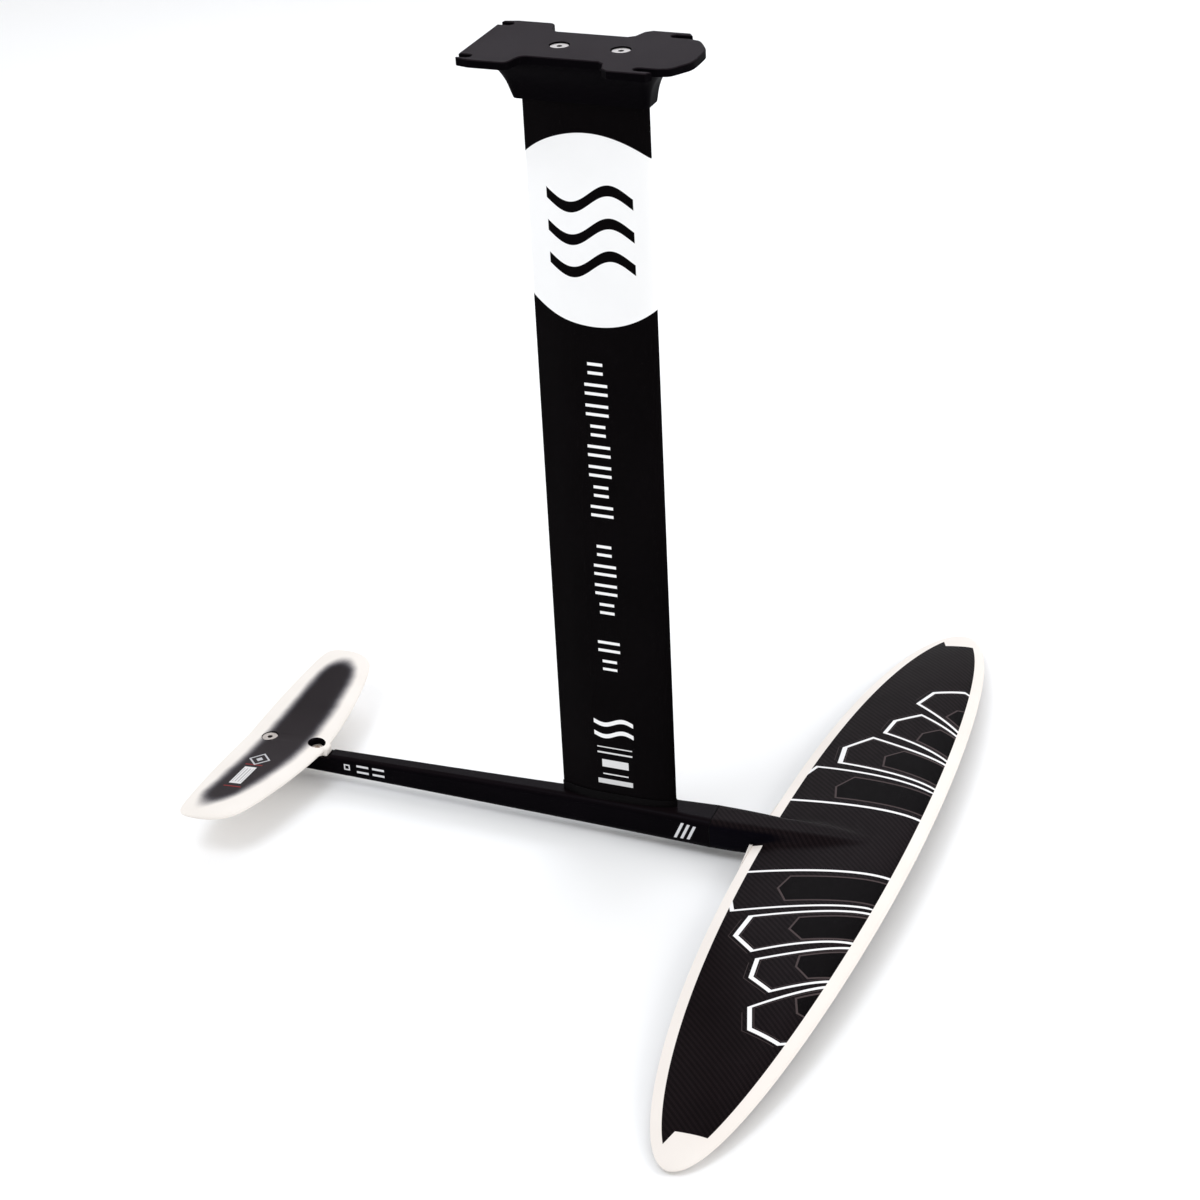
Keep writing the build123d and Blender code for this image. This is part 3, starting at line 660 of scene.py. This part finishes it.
def front_wing_material():
    """Clear-coated carbon twill, with pale bands at the edges and line panels on top."""
    g = Graph(
        "front_wing_lacquer", Specular_IOR_Level=0.026, Specular_Tint=(1.0, 0.80, 0.88, 1.0),
    )
    u, v = g.x, g.y.size()
    top = g.up().op("GREATER_THAN", 0.0)

    # pale bands along both edges, closed by a cap at the tip
    half = ((v / WING_SPAN) ** 2.0).inverse().most(0.0).root() * (WING_CHORD / 2)
    across = u - WING_X
    tail_band = (across + half - TAIL_BAND).most(-(v - BAND_START))
    nose_band = -(across - half + NOSE_BAND)
    tip_cap = -(v - curve(u, *TIP_INNER, TIP_SLOPE, 0.0))
    tip_cap = tip_cap.most(edge(g, TIP_OUTER, TIP_INNER, u, v))
    bands = tail_band.least(nose_band).least(tip_cap).inside(0.22)

    # stripe by the root, and the first panel's lower border with its corner at the tail band
    stripe = (v - curve(u, 151.0, 64.5, -0.1154, 0.00009)).size() - 1.55
    low = v - curve(u, 158.5, 127.8, -0.196, -0.00019)
    corner = edge(g, (158.5, 127.8), (153.0, 115.6), u, v)
    outer, inner = ring_mask((low, corner), (LINE_HALF, 1.9))
    beyond = (v - 100.0).op("GREATER_THAN", 0.0)
    lines = stripe.inside().most(outer.inside() * inner.inside().inverse() * beyond)
    greys = deep = None
    for panel in PANELS:
        x0, a, b, c = panel["top"]
        upper = (curve(u, x0, a, b, c) - v) * (1 / math.hypot(1, b))
        x0, a, b, c = panel["low"]
        lower = (v - curve(u, x0, a, b, c)) * (1 / math.hypot(1, b))
        ab = edge(g, panel["b"], panel["a"], u, v)
        bc = edge(g, panel["c"], panel["b"], u, v)
        halves = (LINE_HALF, panel["ab"], panel["bc"], LINE_HALF)
        outer, inner = ring_mask((upper, ab, bc, lower), halves)
        lines = lines.most(outer.inside() * inner.inside().inverse())
        # a hairline inside the border, and another outside its blunt end
        thin = (inner + 1.7).size() - 0.35
        greys = joined(greys, thin.inside() * 0.8)
        ghost = (ab - 6.6).most(bc - 5.2).size() - 0.3
        near = (upper + 3.0).most(lower - 2.4)
        greys = joined(greys, ghost.inside() * near.inside() * 0.8)
    for a, b, c, slope_top, slope_low in INSETS:
        upper = (curve(u, a[0], a[1], slope_top, 0.0) - v) * (1 / math.hypot(1, slope_top))
        lower = (v - curve(u, c[0], c[1], slope_low, 0.0)) * (1 / math.hypot(1, slope_low))
        ab = edge(g, b, a, u, v)
        bc = edge(g, c, b, u, v)
        outer, inner = ring_mask((upper, ab, bc, lower), (INSET_HALF,) * 4)
        greys = joined(greys, outer.inside() * inner.inside().inverse())
        deep = joined(deep, inner.inside() * top)

    tone = g.noise(0.02, 3.0)
    warp, weave = twill(g, u, g.y, TWILL_TOW)
    fine = g.noise(1.3, 2.0)
    # painted light: faces turned up get the lighter weave and a brownish resin, and the sides a
    # plain bluish resin. This stands in for light from above and a bluish sheen on the sides. The
    # weave's bump is also kept to faces turned up.
    level = (g.up().size() - 0.45).op("MULTIPLY", 2.5, clamp=True)
    bright = (warp * 0.6 + weave * 0.4) * deep.inverse() * (tone * 0.9 + 0.55) * level
    resin_painted_light = g.mix(level, (0.0011, 0.0010, 0.0026), (0.0014, 0.0009, 0.0011))
    carbon = g.mix(bright, resin_painted_light, (0.0084, 0.0054, 0.0061))
    carbon = g.mix(deep, carbon, (0.0008, 0.0005, 0.0006))
    greyed = g.mix(greys * top * 0.9, carbon, (0.066, 0.050, 0.050))
    lined = g.mix(lines * top, greyed, (0.84, 0.83, 0.83))
    warm = g.mix(tone, (0.79, 0.73, 0.68), (0.85, 0.80, 0.755))
    colour = g.mix(bands, lined, warm)
    painted = bands.most(lines * top)
    rough = g.blend(painted, g.blend(bright, 0.50, 0.40), 0.36) + (fine - 0.5) * 0.06
    height = weave * painted.inverse() * level * 0.6 + painted * 1.2 + fine * 0.15
    return g.paint(colour, rough, height, 0.02, 0.5)


# ------------------------------------------------------------------ paint of the other pieces
def bar(u, v, cu, cv, half_u, half_v):
    """Signed distance-like value of an upright oblong."""
    return ((u - cu).size() - half_u).most((v - cv).size() - half_v)


def metal(name, dark, light, rough, stretch, **settings):
    """Anodised aluminium: fine drawn grain, slow tone changes and a light bead-blast bump."""
    g = Graph(name, **settings)
    g.grain = g.noise(1.6, 3.0, 0.6, stretch)
    g.cloud = g.noise(0.012, 2.0)
    g.speck = g.noise(3.2, 2.0)
    g.shade = (g.grain * 0.55 + g.cloud * 0.45 - 0.3) * 2.2
    g.base = g.mix(g.shade.op("ADD", 0.0, clamp=True), dark, light)
    g.rough = (g.grain - 0.5) * 0.10 + (g.cloud - 0.5) * 0.08 + rough
    return g


# centre and radius of the mast's disc
DISC_X, DISC_Z, DISC_RADIUS = 2.0, -162.0, 89.0
# the band of strokes: height of its first pair, pitch, and each group's middle and half height
STROKE_START = -285.0
STROKE_PITCH = 20.3
STROKE_GROUPS = ((-365.7, 81.0), (-502.5, 40.2), (-581.8, 19.6))
# height, half width and half height of the rules near the mast's foot
FOOT_RULES = ((-687.4, 17.8, 0.6), (-693.6, 17.8, 0.9), (-705.5, 13.5, 4.2), (-717.5, 13.0, 0.7))


def mast_material():
    """Anodised mast, with the same plain print on both sides."""
    g = metal(
        "mast_anodised", (0.0012, 0.0008, 0.0010), (0.0028, 0.0020, 0.0025), 0.46, (1.0, 1.0, 0.05),
        Specular_IOR_Level=0.018,
    )
    u, w = g.x, g.z
    # a disc with three waves
    du, dw = u - DISC_X, w - DISC_Z
    disc = ((du * du + dw * dw).root() - DISC_RADIUS).inside(0.25)
    swell = (du * 0.085).wave() * 9.0
    waves = None
    for level in (30.0, 0.0, -30.0):
        line = (dw - level - swell).size() - 5.0
        waves = line if waves is None else waves.least(line)
    waves = waves.most(du.size() - 40.0).inside(0.25)
    white = disc * waves.inverse()
    # paired strokes below the disc, of which every third pair is short
    step = (w - STROKE_START) / -STROKE_PITCH
    index = step.op("FLOOR")
    local = (step - index) * STROKE_PITCH - 6.4
    third = index.op("FLOORED_MODULO", 3.0)
    length = g.blend(third.op("LESS_THAN", 0.5), 10.9, 7.2)
    marks = ((u + 0.4).size() - length).most((local.size() - 4.3).size() - 1.45)
    zone = None
    for level, half in STROKE_GROUPS:
        group = (w - level).size() - half
        zone = group if zone is None else zone.least(group)
    white = white.most(marks.most(zone).inside(0.2))
    # two small waves, rules and a bar near the foot
    ripple = (u * 0.16).wave() * 3.0
    for level in (-659.0, -672.0):
        line = (w - level - ripple).size() - 2.3
        white = white.most(line.most(u.size() - 20.0).inside(0.2))
    for level, wide, half in FOOT_RULES:
        white = white.most(bar(u, w, 0.0, level, wide, half).inside(0.2) * 0.8)
    white = white.most(bar(u, w, -0.6, -726.0, 17.8, 2.7).inside(0.2) * 0.7)
    ink = g.mix(g.cloud, (0.88, 0.88, 0.88), (0.96, 0.96, 0.96))
    colour = g.mix(white, g.base, ink)
    rough = g.blend(white, g.rough, 0.5)
    return g.paint(colour, rough, g.speck * 0.5 + white * 1.5 + g.grain * 0.5, 0.012, 0.6)


def fuselage_material():
    """Anodised fuselage, with painted light (a lighter brown on top, where the light from above
    falls) and plain marks on both sides.
    """
    g = metal(
        "fuselage_anodised", (0.0010, 0.0007, 0.0011), (0.0028, 0.0020, 0.0028), 0.30,
        (0.05, 1.0, 1.0), Specular_IOR_Level=0.016, Specular_Tint=(0.80, 0.82, 1.0, 1.0),
    )
    # painted light: faces turned up are mixed toward a lighter brown, where the light from above
    # falls
    lit_top_share = (g.up() - 0.35).op("MULTIPLY", 1.8, clamp=True)
    g.base = g.mix(lit_top_share, g.base, (0.0046, 0.0030, 0.0037))
    u, w = g.x, g.z
    # three slanted bars behind the front wing's neck
    level = FOIL_Z - 21.0
    marks = None
    for k in range(3):
        slant = ((u - 66.0 - 6.5 * k) - (w - level) * 0.45).size() - 1.5
        shape = slant.most((w - level).size() - (9.0 - 0.5 * k))
        marks = shape if marks is None else marks.least(shape)
    # a square and pairs of rules near the tail
    level = FOIL_Z - 23.0
    marks = marks.least(bar(u, w, -291.5, level, 2.6, 2.6).size() - 0.7)
    for cu in (-274.0, -256.5):
        for shift in (-3.4, 3.4):
            marks = marks.least(bar(u, w, cu, level + shift, 6.6, 1.2))
    mask = marks.inside(0.2) * g.y.size().op("GREATER_THAN", 6.0)
    colour = g.mix(mask * 0.85, g.base, (0.80, 0.80, 0.82))
    rough = g.blend(mask, g.rough, 0.5)
    return g.paint(colour, rough, g.speck * 0.5 + mask * 1.5 + g.grain * 0.5, 0.012, 0.6)


def plate_material():
    """Blasted and anodised, with painted light on the upward faces: a lighter, blast-speckled brown
    where the light from above falls.
    """
    g = metal(
        "plate_anodised", (0.0007, 0.0006, 0.0010), (0.0018, 0.0014, 0.0022), 0.55, (1.0, 1.0, 1.0),
        Specular_IOR_Level=0.015, Specular_Tint=(1.0, 0.86, 0.96, 1.0),
    )
    blast = g.noise(2.2, 3.0, 0.65)
    # painted light: faces turned up are mixed toward a lighter blast-speckled brown, where the
    # light from above falls
    plate_lit_top = (g.up() - 0.4).op("MULTIPLY", 2.0, clamp=True)
    lit_blast_colour = g.mix(blast, (0.0112, 0.0082, 0.0102), (0.0212, 0.0162, 0.0194))
    colour = g.mix(plate_lit_top, g.base, lit_blast_colour)
    return g.paint(colour, g.rough, blast + g.speck * 0.5, 0.03, 0.7)


def rear_wing_material():
    """White gelcoat with a soft-edged dark middle on top."""
    g = Graph(
        "rear_wing_gelcoat", Specular_IOR_Level=0.06, Specular_Tint=(1.0, 0.86, 0.92, 1.0),
    )
    u, v = g.x, g.y
    port = v.op("GREATER_THAN", 0.0)
    square = v * v
    # distance outside the sprayed shape, whose middle line and width change along the span
    middle = g.blend(port, square * -0.00085, square * -0.00032) - 360.8
    half = square * g.blend(port, -0.0006, -0.00042) + 24.0
    end = g.blend(port, (-v) - 112.0, v - 119.0).most(0.0) / 24.0
    along = (u - middle) / half
    wobble = (g.noise(0.05, 3.0) - 0.5) * 3.0
    reach = ((along * along + end * end).root() - 1.0) * half + wobble
    soft = ((reach + 0.5) / 17.0 + 0.5).op("ADD", 0.0, clamp=True)
    soft = soft * soft * (soft * -2.0 + 3.0)
    grain = g.noise(0.9, 3.0, 0.7)
    spray = (soft + (grain - 0.5) * 0.5 * soft * soft.inverse() * 2.0).op("ADD", 0.0, clamp=True)
    black = g.mix(grain, (0.0110, 0.0082, 0.0095), (0.0280, 0.0220, 0.0245))
    # painted shade: the dark middle gets darker toward the port half, which faces away from the
    # light
    port_painted_shade = ((v + 70.0) / 130.0).op("ADD", 0.0, clamp=True)
    black = g.mix(port_painted_shade * 0.85, black, (0.0060, 0.0037, 0.0047))
    tone = g.noise(0.02, 2.0)
    white = g.mix(tone, (0.75, 0.70, 0.65), (0.82, 0.78, 0.735))
    up = g.up().op("GREATER_THAN", 0.0)
    spray = g.blend(up, 1.0, spray)
    edge_tint = g.mix(spray, (0.20, 0.20, 0.27), white)
    colour = g.mix(spray * spray, black, edge_tint)
    # plain marks on the starboard half: an oblong with rules, two red bars and a diamond
    label = bar(u, v, -368.5, -81.0, 6.6, 17.0)
    rule = (((u + 368.5) / 3.3).op("FRACT") - 0.5).size() - 0.13
    rules = rule.most(bar(u, v, -368.5, -81.0, 5.0, 13.5))
    reds = bar(u, v, -368.0, -104.0, 9.5, 0.8).least(bar(u, v, -368.0, -59.0, 9.5, 0.8))
    slope = ((u + 367.5).size() + (v + 47.5).size()) * 0.7071
    diamond = ((slope - 7.6).size() - 0.85).least(slope - 2.8)
    colour = g.mix(label.inside(0.3) * up * (grain * 0.3 + 0.65), colour, (0.80, 0.79, 0.79))
    colour = g.mix(rules.inside(0.3) * up * 0.75, colour, (0.06, 0.055, 0.06))
    colour = g.mix(reds.inside(0.3) * up * 0.8, colour, (0.26, 0.020, 0.020))
    colour = g.mix(diamond.inside(0.3) * up * 0.85, colour, (0.55, 0.55, 0.57))
    # painted shade in the screw holes: their steep walls are coloured near-black, where shade falls
    # in the recess
    wall = (g.up().size() - 0.6).inside(0.1)
    for bolt_x, bolt_radius in TAIL_BOLTS:
        away = u - bolt_x
        hole = ((away * away + square).root() - bolt_radius - 0.12).inside(0.1)
        colour = g.mix(hole * wall, colour, (0.004, 0.003, 0.005))
    rough = g.blend(spray, 0.46, 0.34) + (grain - 0.5) * 0.05
    return g.paint(colour, rough, grain, 0.008, 0.35)


# places of the upward screws: two in the top plate, then the rear wing's flush and deep ones
PLATE_SCREWS = (-21.0, 34.5)
FLUSH_SCREW = -381.1
DEEP_SCREW = -328.0


def steel_material():
    """Turned stainless steel, duller in the top plate, with painted shade in the hex sockets and a
    painted lighter head on the deep screw.
    """
    g = Graph("stainless_steel", Metallic=0.72)
    turned = g.noise(1.8, 3.0, 0.6, (1.0, 1.0, 4.0))
    cloud = g.noise(0.5, 3.0)
    colour = g.mix(cloud, (0.20, 0.175, 0.155), (0.40, 0.355, 0.325))
    in_plate = (g.z + 30.0).op("GREATER_THAN", 0.0)
    colour = g.mix(in_plate * 0.5, colour, (0.14, 0.13, 0.13))
    # painted light: the head of the deep screw, down in its hole, is coloured a light beige as if
    # lit there
    deep = ((g.x - DEEP_SCREW).size() - 8.0).inside(0.5)
    colour = g.mix(deep * 0.8, colour, (0.72, 0.62, 0.54))
    # painted shade: the hex sockets of the flush and plate screws are coloured near-black, where
    # shade falls in the recess
    away = (g.x - FLUSH_SCREW).size()
    for place in PLATE_SCREWS:
        away = away.least((g.x - place).size())
    socket = ((away * away + g.y * g.y).root() - 2.7).inside(0.5)
    colour = g.mix(socket * 0.7, colour, (0.035, 0.026, 0.022))
    return g.paint(colour, turned * 0.22 + 0.22, turned, 0.01, 0.4)


def moulded_material(name, dark, light, rough):
    """Fine-grained black plastic or rubber."""
    g = Graph(name, Specular_IOR_Level=0.04)
    grain = g.noise(1.5, 3.0, 0.6)
    cloud = g.noise(0.06, 2.0)
    colour = g.mix(cloud, dark, light)
    return g.paint(colour, (grain - 0.5) * 0.2 + rough, grain, 0.03, 0.6)


def foam_material():
    """Closed-cell foam."""
    g = Graph("closed_cell_foam", Specular_IOR_Level=0.2)
    cells = g.tree.nodes.new("ShaderNodeTexVoronoi")
    cells.inputs["Scale"].default_value = 1.2
    g.tree.links.new(g.place, cells.inputs["Vector"])
    cell = Term(g, cells.outputs["Distance"])
    colour = g.mix(cell, (0.86, 0.80, 0.60), (0.70, 0.62, 0.42))
    return g.paint(colour, cell * 0.1 + 0.8, cell, 0.1, 0.6)


FINISHES = {
    "anodised_plate": plate_material(),
    "anodised_mast": mast_material(),
    "anodised_fuselage": fuselage_material(),
    "stainless": steel_material(),
    "moulded_plastic": moulded_material(
        "moulded_black", (0.0012, 0.0010, 0.0012), (0.0032, 0.0026, 0.0030), 0.55
    ),
    "foam_core": foam_material(),
    "rubber_seal": moulded_material(
        "rubber_black", (0.003, 0.003, 0.003), (0.006, 0.006, 0.006), 0.7
    ),
}
front_wing.data.materials.append(front_wing_material())
rear_wing.data.materials.clear()
rear_wing.data.materials.append(rear_wing_material())
for part in frame["record"]["subparts"]:
    node = NODES[part["node"]]
    finish = FINISHES.get(part["material_slot"])
    if finish is not None and node.material_slots:
        for holder in node.material_slots:
            holder.material = finish

# ------------------------------------------------------------------ floor, light and camera
# all in metres
FLOOR_GAP = 0.004
FLOOR_NEAR = -4.0
FLOOR_FAR = 2.6
FLOOR_HALF = 5.0
FLOOR_BEND = 0.9
WALL_TOP = 5.0


def curved_floor():
    """Pale sweep: a level floor that curves up into a wall far behind."""
    level = CAD_LOW.z - FLOOR_GAP
    profile = [(FLOOR_NEAR, 0.0), (FLOOR_FAR, 0.0)]
    profile += [
        (FLOOR_FAR + FLOOR_BEND * math.sin(a), FLOOR_BEND - FLOOR_BEND * math.cos(a))
        for a in np.linspace(0.1, math.pi / 2, 14)
    ]
    profile += [(FLOOR_FAR + FLOOR_BEND, WALL_TOP)]
    points, faces = [], []
    for k, (along, rise) in enumerate(profile):
        for x in (-FLOOR_HALF, FLOOR_HALF):
            points.append((x / MM, along / MM, (level + rise) / MM))
        if k:
            faces.append([2 * k - 2, 2 * k - 1, 2 * k + 1, 2 * k])
    return add_mesh("floor_sweep", points, faces)


def floor_material():
    """Matt pale paint."""
    g = Graph("floor_paint", Specular_IOR_Level=0.1)
    haze = g.noise(0.002, 2.0)
    colour = g.mix(haze, (0.93, 0.93, 0.93), (0.95, 0.95, 0.95))
    return g.paint(colour, haze * 0.1 + 0.8)


floor = curved_floor()
floor.data.materials.append(floor_material())

world = bpy.data.worlds.new("studio")
bpy.context.scene.world = world
world.use_nodes = True
background = world.node_tree.nodes["Background"]
background.inputs["Color"].default_value = (1.0, 1.0, 1.0, 1.0)
background.inputs["Strength"].default_value = 0.80


def soft_light(name, place, target, wide, tall, power, colour=(1.0, 1.0, 1.0)):
    """Rectangular lamp at the place, turned to the target; the power is in watts."""
    data = bpy.data.lights.new(name, "AREA")
    data.shape = "RECTANGLE"
    data.size, data.size_y = wide, tall
    data.energy = power
    data.color = colour
    lamp = bpy.data.objects.new(name, data)
    bpy.context.scene.collection.objects.link(lamp)
    lamp.location = place
    lamp.rotation_euler = (Vector(target) - Vector(place)).to_track_quat("-Z", "Y").to_euler()


middle = (CAD_LOW + CAD_HIGH) / 2
soft_light("key_panel", (-0.8, -1.2, 1.9), middle, 1.1, 1.1, 22.0, (0.90, 0.94, 1.0))
soft_light("back_panel", (-0.6, 2.2, 1.2), middle, 2.4, 1.2, 26.0, (0.88, 0.92, 1.0))
soft_light("side_panel", (2.4, 0.2, 0.6), middle, 1.2, 1.6, 22.0)

CAMERA_PLACE = (0.8711, -2.0736, 0.7144)
CAMERA_AZIMUTH = math.radians(23.03)
CAMERA_ELEVATION = math.radians(28.93)
CAMERA_ROLL = math.radians(-2.99)
CAMERA_LENS = 83.06
SENSOR = 36.0

sa, ca = math.sin(CAMERA_AZIMUTH), math.cos(CAMERA_AZIMUTH)
se, ce = math.sin(CAMERA_ELEVATION), math.cos(CAMERA_ELEVATION)
ahead = Vector((-sa * ce, ca * ce, -se))
right = Vector((ca, sa, 0.0))
above = right.cross(ahead)
sr, cr = math.sin(CAMERA_ROLL), math.cos(CAMERA_ROLL)
right_rolled = right * cr + above * sr
above_rolled = above * cr - right * sr
lens = bpy.data.cameras.new("camera")
lens.lens = CAMERA_LENS
lens.sensor_width = SENSOR
lens.sensor_fit = "HORIZONTAL"
lens.clip_start, lens.clip_end = 0.05, 50.0
camera = bpy.data.objects.new("camera", lens)
bpy.context.scene.collection.objects.link(camera)
camera.matrix_world = Matrix.Translation(CAMERA_PLACE) @ Matrix(
    (right_rolled, above_rolled, -ahead)
).transposed().to_4x4()
bpy.context.scene.camera = camera
bpy.context.scene.view_settings.view_transform = "Standard"
